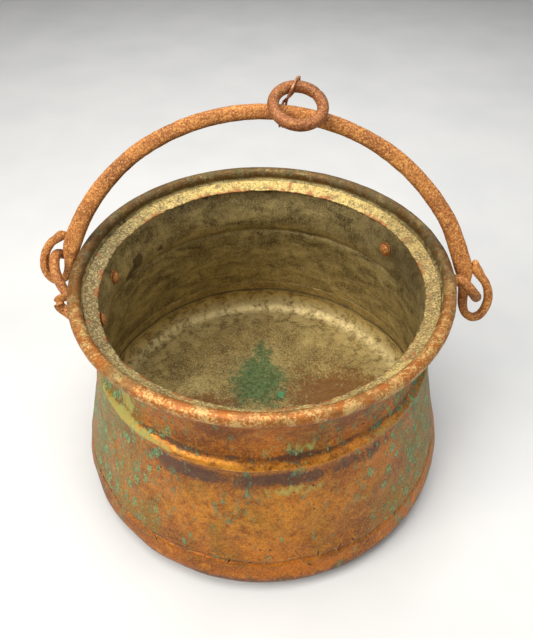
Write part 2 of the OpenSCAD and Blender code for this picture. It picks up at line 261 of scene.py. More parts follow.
class Bench:
    def __init__(self, name):
        self.material = bpy.data.materials.new(name)
        self.material.use_nodes = True
        self.nodes = self.material.node_tree.nodes
        self.links = self.material.node_tree.links
        self.nodes.clear()
        self.place = self.make("ShaderNodeTexCoord", {}, {}, "Object")

    # Settings go in first, then the values or links of the sockets
    def make(self, kind, settings=None, values=None, output=0):
        node = self.nodes.new(kind)
        for key, value in (settings or {}).items():
            if key == "stops":
                ramp = node.color_ramp
                while len(ramp.elements) < len(value):
                    ramp.elements.new(0.5)
                for element, (position, colour) in zip(ramp.elements, value):
                    element.position = position
                    element.color = (*colour, 1)
            else:
                setattr(node, key, value)
        for key, value in (values or {}).items():
            if isinstance(value, Flow):
                self.links.new(value.socket, node.inputs[key])
            else:
                node.inputs[key].default_value = value
        return Flow(self, node.outputs[output])

    # Object coordinates stretched by three factors and moved
    def stretched(self, scale, move=(0, 0, 0)):
        return self.make("ShaderNodeMapping", {}, {"Vector": self.place, "Scale": scale, "Location": move})

    def cloud(self, size, detail=4.0, rough=0.55, bend=0.0, scale=(1, 1, 1), move=(0, 0, 0)):
        return self.make("ShaderNodeTexNoise", {}, {
            "Vector": self.stretched(scale, move), "Scale": 1 / size, "Detail": detail,
            "Roughness": rough, "Distortion": bend})

    def cells(self, size, feature="F1", scale=(1, 1, 1), move=(0, 0, 0)):
        return self.make("ShaderNodeTexVoronoi", {"feature": feature}, {
            "Vector": self.stretched(scale, move), "Scale": 1 / size})

    def field(self, name):
        return self.make("ShaderNodeAttribute", {"attribute_name": name}, {}, "Fac")

    def mix(self, mask, low, high):
        low = (*low, 1) if isinstance(low, tuple) else low
        high = (*high, 1) if isinstance(high, tuple) else high
        return self.make("ShaderNodeMix", {"data_type": "RGBA"}, {0: mask, 6: low, 7: high}, 2)

    # Lays a colour over a tone where the mask, held within 0 to 1, lets it
    def tint(self, tone, mask, colour):
        return self.mix(mask.held(), tone, colour)

    # Light and dark grains, each by its own share
    def grain(self, tone, grit, light, lightTone, dark, darkTone, top=0.6):
        tone = self.tint(tone, grit.rise(0.51, top) * light, lightTone)
        return self.tint(tone, (1 - grit).rise(0.51, 0.61) * dark, darkTone)

    def shades(self, value, stops):
        return self.make("ShaderNodeValToRGB", {"stops": stops}, {"Fac": value})

    def bump(self, height, distance, strength=1.0, under=None):
        values = {"Height": height, "Distance": distance, "Strength": strength}
        if under is not None:
            values["Normal"] = under
        return self.make("ShaderNodeBump", {}, values)

    def finish(self, colour, rough, metal, normal):
        shader = self.make("ShaderNodeBsdfPrincipled", {}, {
            "Base Color": colour, "Roughness": rough, "Metallic": metal, "Normal": normal})
        end = self.nodes.new("ShaderNodeOutputMaterial")
        self.links.new(shader.socket, end.inputs["Surface"])
        return self.material


# Colours are given as they look on a screen, from 0 to 255
def paint(red, green, blue):
    return tuple((c / 255 / 12.92) if c < 10.3 else ((c / 255 + 0.055) / 1.055) ** 2.4
                 for c in (red, green, blue))


print("frame read, rim at", round(rimH, 4), "mouth", round(mouthR, 4))


verdigris = paint(96, 124, 76)
paleVerdigris = paint(142, 150, 92)
turquoise = paint(70, 140, 110)
ochreLime = paint(176, 164, 82)
warmCopper = paint(184, 104, 20)
brightCopper = paint(214, 142, 40)
brownCopper = paint(122, 66, 18)
oliveCopper = paint(132, 108, 30)
darkPatinaAndShade = paint(64, 36, 26)
nearBlack = paint(24, 18, 15)


# Patinated copper outside, tarnished tin inside: orange copper under brown clouds, with green
# streaks that run down the wall, pale lime, dark blotches and scratches. The mesh carries the
# broad zones as fields, painted highlight and painted shade among them, and noise stretched
# along z breaks them up
def copperAndTin(name):
    bench = Bench(name)
    inside = bench.field("inside")
    greenZone = bench.field("greenZone")
    darkZone = bench.field("darkZone")
    paleZone = bench.field("paleZone")
    brightZone = bench.field("brightZone")

    # outside
    clouds = bench.cloud(0.05, 6, 0.62, 0.6)
    fine = bench.cloud(0.008, 5, 0.65, 0.3, move=(3, 1, 2))
    speck = bench.cloud(0.0028, 3, 0.6, 0.0, move=(7, 2, 5))
    streak = bench.cloud(0.011, 5, 0.66, 0.35, (1, 1, 0.28), (0.4, 0.2, 0.1))
    thinStreak = bench.cloud(0.0045, 4, 0.62, 0.2, (1, 1, 0.22), (0.9, 0.3, 0.6))
    copper = bench.mix(clouds.rise(0.36, 0.66), brownCopper, warmCopper)
    copper = bench.tint(copper, fine.rise(0.5, 0.74) * 0.6, brightCopper)
    # painted highlight: the copper is lightened on the ridge's top and on the front of the belly
    copper = bench.tint(copper, brightZone * fine.rise(0.3, 0.6) * 0.85, brightCopper)
    copper = bench.tint(copper, (1 - fine).rise(0.5, 0.72) * 0.55, brownCopper)
    olive = bench.cloud(0.034, 5, 0.6, 0.5, (1, 1, 0.5), (1.7, 0.2, 0.9))
    copper = bench.tint(copper, (olive + greenZone * 0.25).rise(0.5, 0.78) * 0.7, oliveCopper)
    broken = bench.cloud(0.0036, 5, 0.75, 0.3, (1, 1, 0.5), (3, 6, 9))
    grit = bench.cloud(0.0015, 4, 0.72, 0.1, move=(2, 7, 7))
    copper = bench.grain(copper, grit, 0.3, paint(224, 152, 52), 0.4, paint(80, 42, 14))
    darkSum = clouds * 0.15 + streak * 0.25 + fine * 0.25 + broken * 0.35
    # dark patina in broken patches, plus painted shade in the neck's crease and just under the bead
    darkAndShadeMask = (darkSum + darkZone * 0.15 - greenZone * 0.02).rise(0.55, 0.63)
    copper = bench.tint(copper, darkAndShadeMask * 0.82, darkPatinaAndShade)
    greenMask = ((streak * 0.3 + thinStreak * 0.25 + broken * 0.45) + greenZone * 0.07).rise(0.55, 0.62)
    greenTone = bench.mix(speck.rise(0.4, 0.6), verdigris, turquoise)
    greenTone = bench.mix(fine.rise(0.5, 0.66), greenTone, paleVerdigris)
    copper = bench.tint(copper, greenMask * 0.8, greenTone)
    flake = bench.cells(0.0085, "F1", (1, 1, 0.55)).rise(0.4, 0.26) * broken.rise(0.42, 0.48)
    fleck = bench.cells(0.0046, "F1", (1, 1, 0.7), (0.4, 0.1, 0.7)).rise(0.26, 0.12) * grit.rise(0.36, 0.5)
    speckMask = (flake.either(fleck) * (clouds * 0.5 + greenZone * 0.6).rise(0.3, 0.5)).held()
    fleckTone = bench.mix(grit.rise(0.4, 0.6), paint(64, 112, 72), paint(140, 178, 116))
    copper = bench.tint(copper, speckMask * 0.85, fleckTone)
    chip = bench.cells(0.0056, "F1", (1, 1, 0.8), (0.8, 0.6, 0.2)).rise(0.2, 0.1)
    chip = chip * (clouds * 0.6 + fine * 0.4).rise(0.46, 0.6)
    copper = bench.tint(copper, chip * 0.8, paint(48, 28, 18))
    # pale lime patina in broken patches, and painted highlight as pale lime on the ridge's top at the front
    # left and front right
    paleAndHighlightMask = ((thinStreak * 0.35 + broken * 0.65) + paleZone * 0.26 - 0.06).rise(0.56, 0.72)
    copper = bench.tint(copper, paleAndHighlightMask * 0.75, ochreLime)
    pinhole = bench.cells(0.011, "F1", (1, 1, 1), (0.3, 0.7, 0.2)).rise(0.13, 0.06)
    copper = bench.tint(copper, pinhole * (speck.rise(0.45, 0.6)), nearBlack)
    bead = bench.field("bead")
    beadCloud = bench.cloud(0.013, 5, 0.65, 0.5, move=(2, 5, 1))
    # The bead is darker towards the back, and cream is laid on it mostly at the front as painted highlight
    front = bench.field("creamZone")
    beadBase = bench.mix(front, paint(92, 66, 32), paint(160, 92, 30))
    highlightAndCream = (beadCloud * 0.5 + grit * 0.5 + front * 0.03).rise(0.51, 0.6) * (0.25 + front * 0.45)
    beadTone = bench.tint(beadBase, highlightAndCream, paint(214, 184, 116))
    beadOlive = bench.cloud(0.02, 4, 0.6, 0.4, move=(5, 5, 5)).rise(0.52, 0.66)
    beadTone = bench.tint(beadTone, beadOlive * 0.6, paint(112, 94, 50))
    copper = bench.tint(copper, bead * 0.85, beadTone)

    # inside
    wipe = bench.cloud(0.028, 6, 0.6, 0.8, (1, 1, 1.9), (4, 4, 4))
    tinBase = bench.shades(wipe, [(0.34, paint(96, 82, 48)), (0.48, paint(150, 132, 84)),
                                  (0.64, paint(194, 174, 116))])
    wiped = bench.cloud(0.0055, 5, 0.7, 0.2, (1, 1, 0.35), (2, 2, 2))
    tin = bench.mix((wiped.rise(0.46, 0.68) * 0.45).held(), tinBase, paint(190, 170, 108))
    tin = bench.tint(tin, (1 - wiped).rise(0.5, 0.7) * 0.5, paint(84, 68, 44))
    tin = bench.grain(tin, grit, 0.45, paint(206, 188, 130), 0.4, paint(70, 56, 32), 0.61)
    shadeAndStain = bench.cloud(0.018, 5, 0.7, 0.7, move=(8, 1, 4))
    # stains in spots, plus painted shade: a dark line at the inside step just below the crease and a darker
    # band high on the inside wall under the collar
    shadeAndStainMask = (shadeAndStain + bench.field("stainZone") * 0.34).rise(0.64, 0.72)
    tin = bench.tint(tin, shadeAndStainMask * 0.75, paint(66, 46, 32))
    pepper = bench.cells(0.0052, "F1", (1, 1, 1), (0.1, 0.5, 0.9)).rise(0.15, 0.07)
    tin = bench.tint(tin, pepper * shadeAndStain.rise(0.42, 0.56), paint(44, 34, 26))
    bare = (bench.cloud(0.022, 6, 0.7, 0.8, move=(6, 6, 1)) + bench.field("bareZone") * 0.4).rise(0.66, 0.76)
    tin = bench.tint(tin, bare * 0.8, paint(150, 84, 48))
    tin = bench.tint(tin, bench.field("shadeZone") * 0.62, paint(70, 54, 36))
    colour = bench.mix(inside, copper, tin)

    metalOut = (0.55 - greenMask * 0.5 - paleAndHighlightMask * 0.35 - darkAndShadeMask * 0.25).held()
    metal = metalOut + inside * (0.5 - metalOut)
    roughOut = 0.5 + greenMask * 0.3 + paleAndHighlightMask * 0.2 - brightZone * 0.06
    rough = roughOut + inside * (0.5 + wiped * 0.12 - roughOut)
    height = fine * 0.5 + greenMask * 0.35 + speckMask * 0.5 + speck * 0.18 - pinhole * 0.4
    normal = bench.bump(height, 0.0009, 0.6)
    return bench.finish(colour, rough.held(), metal.held(), normal)


# The dish takes the same two finishes: copper below, tin with a green bloom above. Painted shadow darkens the
# outside's bottom edge, and painted light lifts the floor's corner inside
def dishFinish(name):
    bench = Bench(name)
    inside = bench.field("inside")
    greenZone = bench.field("greenZone")
    clouds = bench.cloud(0.05, 6, 0.62, 0.6)
    fine = bench.cloud(0.008, 5, 0.65, 0.3, move=(3, 1, 2))
    speck = bench.cloud(0.0028, 3, 0.6, 0.0, move=(7, 2, 5))
    streak = bench.cloud(0.011, 5, 0.66, 0.35, (1, 1, 0.4), (0.4, 0.2, 0.1))
    copper = bench.mix(clouds.rise(0.36, 0.66), brownCopper, warmCopper)
    copper = bench.tint(copper, fine.rise(0.5, 0.74) * 0.7, brightCopper)
    # darker towards the bottom of the outside
    darkAndShadeMask = (clouds * 0.35 + streak * 0.65 + bench.field("darkZone") * 0.3).rise(0.6, 0.72)
    copper = bench.tint(copper, darkAndShadeMask * 0.75, darkPatinaAndShade)
    greenOut = (streak + greenZone * 0.1).rise(0.6, 0.68)
    copper = bench.tint(copper, greenOut * 0.7, verdigris)
    # painted shadow: the outside's bottom edge is painted near-black
    shadowAndSoot = bench.field("sootZone")
    copper = bench.tint(copper, shadowAndSoot * 0.9, paint(46, 34, 28))

    wipe = bench.cloud(0.03, 6, 0.62, 0.8, move=(4, 4, 4))
    tin = bench.shades(wipe, [(0.3, paint(126, 106, 58)), (0.5, paint(170, 146, 86)),
                              (0.7, paint(202, 180, 114))])
    mottle = bench.cloud(0.009, 6, 0.72, 0.4, move=(1, 8, 3))
    tin = bench.tint(tin, (1 - mottle).rise(0.48, 0.66) * 0.6, paint(88, 74, 50))
    tin = bench.tint(tin, mottle.rise(0.52, 0.7) * 0.4, paint(208, 186, 124))
    grit = bench.cloud(0.0015, 4, 0.72, 0.1, move=(2, 7, 7))
    tin = bench.grain(tin, grit, 0.45, paint(222, 202, 146), 0.55, paint(92, 74, 42))
    copper = bench.grain(copper, grit, 0.3, paint(224, 152, 52), 0.4, paint(80, 42, 14))
    fleck = bench.cells(0.0052, "F1", (1, 1, 0.7), (0.4, 0.1, 0.7)).rise(0.26, 0.12) * grit.rise(0.36, 0.5)
    copper = bench.tint(copper, fleck * (clouds * 0.6 + greenZone * 0.5).rise(0.34, 0.6) * 0.85, verdigris)
    pepper = bench.cells(0.0045, "F1", (1, 1, 1), (0.1, 0.5, 0.9)).rise(0.16, 0.07)
    tin = bench.tint(tin, pepper * bench.cloud(0.03, 3, 0.6).rise(0.42, 0.58), paint(40, 32, 24))
    broken = bench.cloud(0.0036, 5, 0.75, 0.3, move=(3, 6, 9))
    bareCloud = bench.cloud(0.011, 6, 0.8, 0.6, move=(6, 6, 1))
    bare = (bareCloud * 0.6 + broken * 0.4 + bench.field("bareZone") * 0.2).rise(0.54, 0.66)
    tin = bench.tint(tin, bare * 0.8, paint(128, 78, 36))
    bloom = bench.cloud(0.01, 6, 0.78, 0.6, move=(2, 9, 2))
    bloomMask = (bloom * 0.65 + broken * 0.3 + greenZone * 0.36).rise(0.62, 0.76)
    bloomTone = bench.mix(speck.rise(0.42, 0.6), paint(58, 84, 42), paint(92, 122, 74))
    tin = bench.tint(tin, bloomMask * 0.88, bloomTone)
    lump = (bloom * 0.6 + bench.field("lumpZone") * 0.6).rise(0.72, 0.8)
    tin = bench.tint(tin, lump, paint(84, 150, 104))
    # painted light: the floor's corner, below the step, is lightened
    tin = bench.tint(tin, bench.field("lightZone") * mottle.rise(0.4, 0.56) * 0.6, paint(230, 210, 150))
    edge = bench.field("cornerZone")
    tin = bench.tint(tin, edge * 0.8, paint(62, 50, 34))
    colour = bench.mix(inside, copper, tin)
    metal = (0.5 - inside * (bloomMask * 0.4 + 0.08) - greenOut * 0.3).held()
    rough = (0.52 + bloomMask * inside * 0.3).held()
    normal = bench.bump(fine * 0.4 + bloomMask * inside * 0.5 + mottle * 0.2, 0.0009, 0.6)
    return bench.finish(colour, rough, metal, normal)


# Worn tinning: yellow-tan and grey clouds with dark pores, bare orange copper towards the torn edge, and a
# painted highlight of light gold on the back
def collarFinish(name):
    bench = Bench(name)
    cloud = bench.cloud(0.02, 6, 0.65, 0.6)
    fine = bench.cloud(0.005, 5, 0.7, 0.4, move=(3, 3, 3))
    tone = bench.shades(cloud, [(0.3, paint(112, 90, 44)), (0.5, paint(156, 130, 72)),
                                (0.72, paint(204, 178, 104))])
    grey = bench.field("greyZone")
    tone = bench.tint(tone, grey * 0.7, paint(118, 102, 66))
    tone = bench.tint(tone, (1 - fine).rise(0.48, 0.66) * 0.6, paint(86, 70, 44))
    tone = bench.tint(tone, fine.rise(0.56, 0.7) * 0.5, paint(214, 190, 128))
    torn = bench.field("tornEdge")
    # painted highlight: light gold on the back of the collar
    tone = bench.tint(tone, bench.field("goldZone") * fine.rise(0.3, 0.6) * 0.7, paint(226, 198, 116))
    grit = bench.cloud(0.0015, 4, 0.72, 0.1, move=(2, 7, 7))
    tone = bench.grain(tone, grit, 0.5, paint(230, 210, 152), 0.5, paint(84, 66, 36))
    rim = (torn * 0.6 + fine * 0.6).rise(0.86, 1.0)
    tone = bench.tint(tone, rim * 0.6, paint(220, 194, 134))
    orange = (bench.cloud(0.012, 4, 0.6, 0.3, move=(1, 7, 2)) + torn * 0.12).rise(0.6, 0.7)
    tone = bench.tint(tone, orange * 0.75, paint(158, 86, 34))
    greenSpot = bench.cloud(0.01, 3, 0.6, 0.2, move=(5, 1, 2)).rise(0.68, 0.74)
    tone = bench.tint(tone, greenSpot * 0.8, paint(150, 168, 92))
    normal = bench.bump(fine * 0.6 + cloud * 0.3, 0.0008, 0.7)
    return bench.finish(tone, (0.5 + fine * 0.15).held(), (0.4 - orange * 0.1).held(), normal)


# Forged iron under rust: ochre-orange with brown pits and yellow crumbs; worn shines through
def rustFinish(name, brown=0.0, shine=0.0, size=1.0):
    bench = Bench(name)
    cloud = bench.cloud(0.026 * size, 5, 0.6, 0.4)
    crumb = bench.cloud(0.0032 * size, 6, 0.72, 0.3, move=(2, 2, 2))
    tone = bench.shades(cloud, [(0.3, paint(132 - 24 * brown, 76 - 18 * brown, 34 - 4 * brown)),
                                (0.5, paint(170 - 46 * brown, 102 - 34 * brown, 44 - 6 * brown)),
                                (0.7, paint(198 - 56 * brown, 130 - 50 * brown, 62 - 16 * brown))])
    grit = bench.cloud(0.0013 * size, 4, 0.74, 0.1, move=(2, 7, 7))
    tone = bench.tint(tone, (1 - crumb).rise(0.5, 0.66) * 0.6, paint(112, 62, 24))
    tone = bench.tint(tone, crumb.rise(0.52, 0.66) * (0.7 - 0.3 * brown), paint(216, 154, 78))
    tone = bench.tint(tone, grit.rise(0.51, 0.61) * (0.6 - 0.3 * brown), paint(230, 176, 100))
    tone = bench.tint(tone, (1 - grit).rise(0.51, 0.61) * 0.55, paint(100, 54, 22))
    pits = bench.cells(0.0042 * size, "F1", (1, 1, 1), (0.2, 0.2, 0.2)).rise(0.24, 0.1)
    tone = bench.tint(tone, pits * cloud.rise(0.44, 0.66) * 0.3, paint(66, 32, 20))
    shadowAndSoot = bench.cloud(0.04 * size, 4, 0.6, 0.5, move=(5, 3, 1)).rise(0.6, 0.74)
    tone = bench.tint(tone, shadowAndSoot * 0.25, paint(86, 52, 38))
    normal = bench.bump(crumb * 0.7 - pits * 0.6 + cloud * 0.2, 0.0007, 0.75)
    rough = (0.78 - 0.3 * shine - crumb * 0.1).held()
    return bench.finish(tone, rough, (0.12 + 0.3 * shine + cloud * 0.1).held(), normal)


# Bright bent wire: peach with brown rust spots
def wireFinish(name):
    bench = Bench(name)
    crumb = bench.cloud(0.003, 5, 0.7, 0.2)
    tone = bench.shades(crumb, [(0.36, paint(116, 66, 40)), (0.52, paint(186, 124, 84)),
                                (0.68, paint(224, 176, 136))])
    return bench.finish(tone, (0.5 - crumb * 0.1).held(), (crumb * 0.6).held(),
                        bench.bump(crumb, 0.0004, 0.5))


# Dull yellow spelter, darker in its pores
def spelterFinish(name):
    bench = Bench(name)
    crumb = bench.cloud(0.004, 6, 0.7, 0.3)
    run = bench.cloud(0.02, 4, 0.6, 0.4, move=(3, 3, 3))
    tone = bench.shades(crumb, [(0.34, paint(110, 64, 16)), (0.5, paint(168, 98, 24)),
                                (0.66, paint(196, 128, 40))])
    tone = bench.tint(tone, run.rise(0.5, 0.64) * 0.4, paint(98, 110, 66))
    tone = bench.tint(tone, bench.field("pore") * 0.94, nearBlack)
    return bench.finish(tone, (0.5 + crumb * 0.2).held(), (0.6 - crumb * 0.2).held(),
                        bench.bump(crumb, 0.0005, 0.6))


copperFinish = copperAndTin("copperAndTin")
bottomFinish = dishFinish("bottomCopperAndTin")
tinnedFinish = collarFinish("wornTinning")
barRust = rustFinish("barRust")
lugRust = rustFinish("lugRust", brown=0.25)
ringRust = rustFinish("ringRust", brown=0.75, shine=0.55, size=0.8)
headRust = rustFinish("rivetRust", brown=0.05, size=0.7)
brightWire = wireFinish("bentWire")
spelter = spelterFinish("spelter")
print("finishes mixed")


# Outer radius at a height: a power curve for the belly, a sine hump for the ridge, and a neck
# that is narrowest above the crease and flares to the rim
def outlineAt(h):
    low = (ridgeLow - h) / (ridgeLow - cornerTopH)
    belly = shoulderR + (cornerTopR - shoulderR) * np.clip(low, 0, None) ** pot["bellyPower"]
    u = np.clip((h - ridgeLow) / pot["ridgeW"], 0, 1)
    ridge = shoulderR + (creaseR - shoulderR) * u * u + pot["ridgeOut"] * np.sin(np.pi * u)
    below = np.clip((neckLowH - h) / (neckLowH - creaseH), 0, 1)
    above = np.clip((h - neckLowH) / (neckTopH - neckLowH), 0, None)
    neck = neckR + (creaseR - neckR) * below ** 2 + (neckTopR - neckR) * above ** 2.2
    return np.where(h < ridgeLow, belly, np.where(h < creaseH, ridge, neck))


# Slow waves round the pot, the same for every piece of it
def outOfRound(azimuth):
    return pot["wobble"] * (0.55 * np.sin(2 * azimuth - 1.4) + 0.3 * np.sin(3 * azimuth + 2.1)
                            + 0.2 * np.sin(5 * azimuth + 0.4))


# Hammer marks are shallow bowls about jittered centres, with a few wide dents among them
def hammered(azimuth, h):
    cells = int(round(2 * math.pi * 0.14 / pot["dentSize"]))
    near = hammerMarks(azimuth / (2 * math.pi) * cells, h / pot["dentSize"], cells, 3)
    marks = -pot["dentDepth"] * (1 - np.clip(near / 0.8, 0, 1) ** 2)
    cells = 20
    wide = hammerMarks(azimuth / (2 * math.pi) * cells, h / (44 * mm), cells, 9)
    marks += -1.1 * mm * np.clip(1 - (wide / 0.42) ** 2, 0, 1) ** 2
    place = np.stack([np.cos(azimuth) * 0.14, np.sin(azimuth) * 0.14, h], axis=-1)
    return marks + 0.22 * mm * roughness(place, 30 * mm, 3, 0.5, 5)


# A soft round patch about a place on the wall, 1 at its middle
def wallPatch(azimuth, h, degrees, height, across, up):
    turn = (azimuth - math.radians(degrees) + math.pi) % (2 * math.pi) - math.pi
    return np.exp(-(turn * pot["patchR"] / across) ** 2 - ((h - height) / up) ** 2)


# Patches of each finish on the wall, and of painted highlight and painted shade: strength, degrees round,
# height, half width, half height
wallSpots = {
    "green": [(0.5, -79, 0.138, 0.02, 0.012), (0.35, -148, 0.145, 0.05, 0.03)],
    "under": [(1, -112, 0.115, 0.028, 0.2), (1, -84, 0.115, 0.03, 0.2), (0.6, -58, 0.118, 0.03, 0.2)],
    "dark": [(0.4, -108, 0.109, 0.06, 0.016), (0.8, -79, 0.138, 0.013, 0.009)],
    "pale": [(0.9, -80, 0.107, 0.034, 0.006), (0.8, -79, 0.143, 0.02, 0.008),
             (1.2, -136.5, 0.143, 0.011, 0.01), (0.5, -168, 0.15, 0.03, 0.03)],
    "ridgeHighlight": [(1.6, -133, 0.13, 0.045, 0.2), (0.8, -52, 0.13, 0.03, 0.2)],
    "paintedHighlight": [(0.75, -92, 0.085, 0.09, 0.035)],
    "shadeAndStain": [(1.3, 157, 0.141, 0.007, 0.006), (1.2, 151.6, 0.147, 0.007, 0.008),
              (1.1, 136.7, 0.143, 0.008, 0.005)],
    "bare": [(0.6, -40, 0.08, 0.06, 0.03)],
    "shade": [(1, 20, 0.158, 0.055, 0.022)],
}


# The outline turned round the pot, with a bead rolled out over the wire and the inside of the sheet
def buildWall():
    hOut = np.concatenate([np.linspace(pot["seamTop"], ridgeLow, 38),
                           np.linspace(ridgeLow, creaseH, 13)[1:],
                           np.linspace(creaseH, rimH - 1.05 * beadR, 22)[1:]])
    turn = np.radians(np.linspace(-96, 228, 26))
    hIn = np.concatenate([np.linspace(rimH - 1.0 * beadR, creaseH, 14),
                          np.linspace(creaseH, ridgeLow, 10)[1:],
                          np.linspace(ridgeLow, pot["seamTop"], 20)[1:]])
    r = np.concatenate([outlineAt(hOut), beadC + beadR * np.cos(turn), outlineAt(hIn) - pot["sheet"]])
    h = np.concatenate([hOut, rimH + beadR * np.sin(turn), hIn])
    isBead = np.concatenate([hOut * 0, turn * 0 + 1, hIn * 0])
    isInside = np.concatenate([hOut * 0, smoothStep(turn, math.radians(200), math.radians(228)), hIn * 0 + 1])
    azimuth = np.linspace(-math.pi, math.pi, pot["around"], endpoint=False)[:, None]
    r, h, isBead, isInside = (np.broadcast_to(v[None, :], (len(azimuth), len(v)))
                              for v in (r, h, isBead, isInside))
    azimuth = np.broadcast_to(azimuth, r.shape)
    shellMove = hammered(azimuth, h) * (1 - isBead)
    place = np.stack([r * np.cos(azimuth), r * np.sin(azimuth), h], axis=-1)
    lump = 1 + isBead * (0.07 * roughness(place, 14 * mm, 3, 0.6, 21))
    rr = np.where(isBead > 0, beadC + (r - beadC) * lump, r + shellMove) + outOfRound(azimuth)
    hh = np.where(isBead > 0, rimH + (h - rimH) * lump, h)
    hh = hh + smoothStep(h, creaseH, rimH) * 0.5 * mm * np.sin(3 * azimuth + 0.6)
    points = np.stack([rr * np.cos(azimuth), rr * np.sin(azimuth), hh], axis=-1)
    deg = np.degrees(azimuth)
    out = 1 - isInside
    sides = smoothStep(np.abs((deg + 90 + 180) % 360 - 180), 18, 62)
    underLow, underHigh = ridgeLow - 20 * mm, ridgeLow + 1 * mm
    under = smoothStep(h, underLow, underLow + 12 * mm) * (1 - smoothStep(h, underHigh - 7 * mm, underHigh))
    crease = np.exp(-((h - creaseH - 1.5 * mm) / (1.6 * mm)) ** 2)
    ridgeTop = np.exp(-((h - ridgeLow - 4 * mm) / (3 * mm)) ** 2)
    spots = {zone: sum(share * wallPatch(azimuth, h, *spot) for share, *spot in places)
             for zone, places in wallSpots.items()}
    green = 0.1 + 0.75 * sides + spots["green"] - 0.3 * ridgeTop
    # painted shade in the neck's crease and just under the bead; dark blotches, and a darker band below the
    # ridge at the front
    dark = 1.3 * under * spots["under"] + 1.1 * crease + spots["dark"]
    dark += 0.5 * smoothStep(h, rimH - 11 * mm, rimH - 5 * mm)
    # pale lime patina spots, and painted highlight on the ridge's top at the front left and front right
    pale = spots["pale"] + ridgeTop * spots["ridgeHighlight"]
    # painted highlight: the ridge's upward-facing top, less at the sides, and a pool of light on the front of
    # the belly
    paintedHighlight = ridgeTop * (1 - 0.5 * sides) + spots["paintedHighlight"]
    # stain spots, a painted shadow line at the inside step just below the crease, and painted shade high on
    # the inside wall under the collar
    shadeAndStain = spots["shadeAndStain"] + 1.5 * np.exp(-((h - creaseH + 1.5 * mm) / (1.3 * mm)) ** 2) - 0.2
    shadeAndStain += 0.55 * smoothStep(h, rimH - 26 * mm, rimH - 12 * mm)
    # the bead's front field carries the bead's painted highlight
    fields = {"inside": isInside, "bead": isBead * out, "creamZone": smoothStep(-np.sin(azimuth), -0.1, 0.6),
              "greenZone": green * out, "darkZone": dark * out, "paleZone": pale * out,
              "brightZone": paintedHighlight * out, "stainZone": shadeAndStain * isInside,
              "bareZone": spots["bare"] * isInside, "shadeZone": spots["shade"] * isInside}
    quads = gridFaces(points.shape[0], points.shape[1], True, True)
    makePiece("hammeredCopperWall", points, quads, copperFinish, "pot", ["copper_wall"],
              fields, flip=True)


buildWall()
print("wall raised")


dish = {"around": 400, "rings": 44, "innerRings": 60, "stepH": 30.6 * mm}


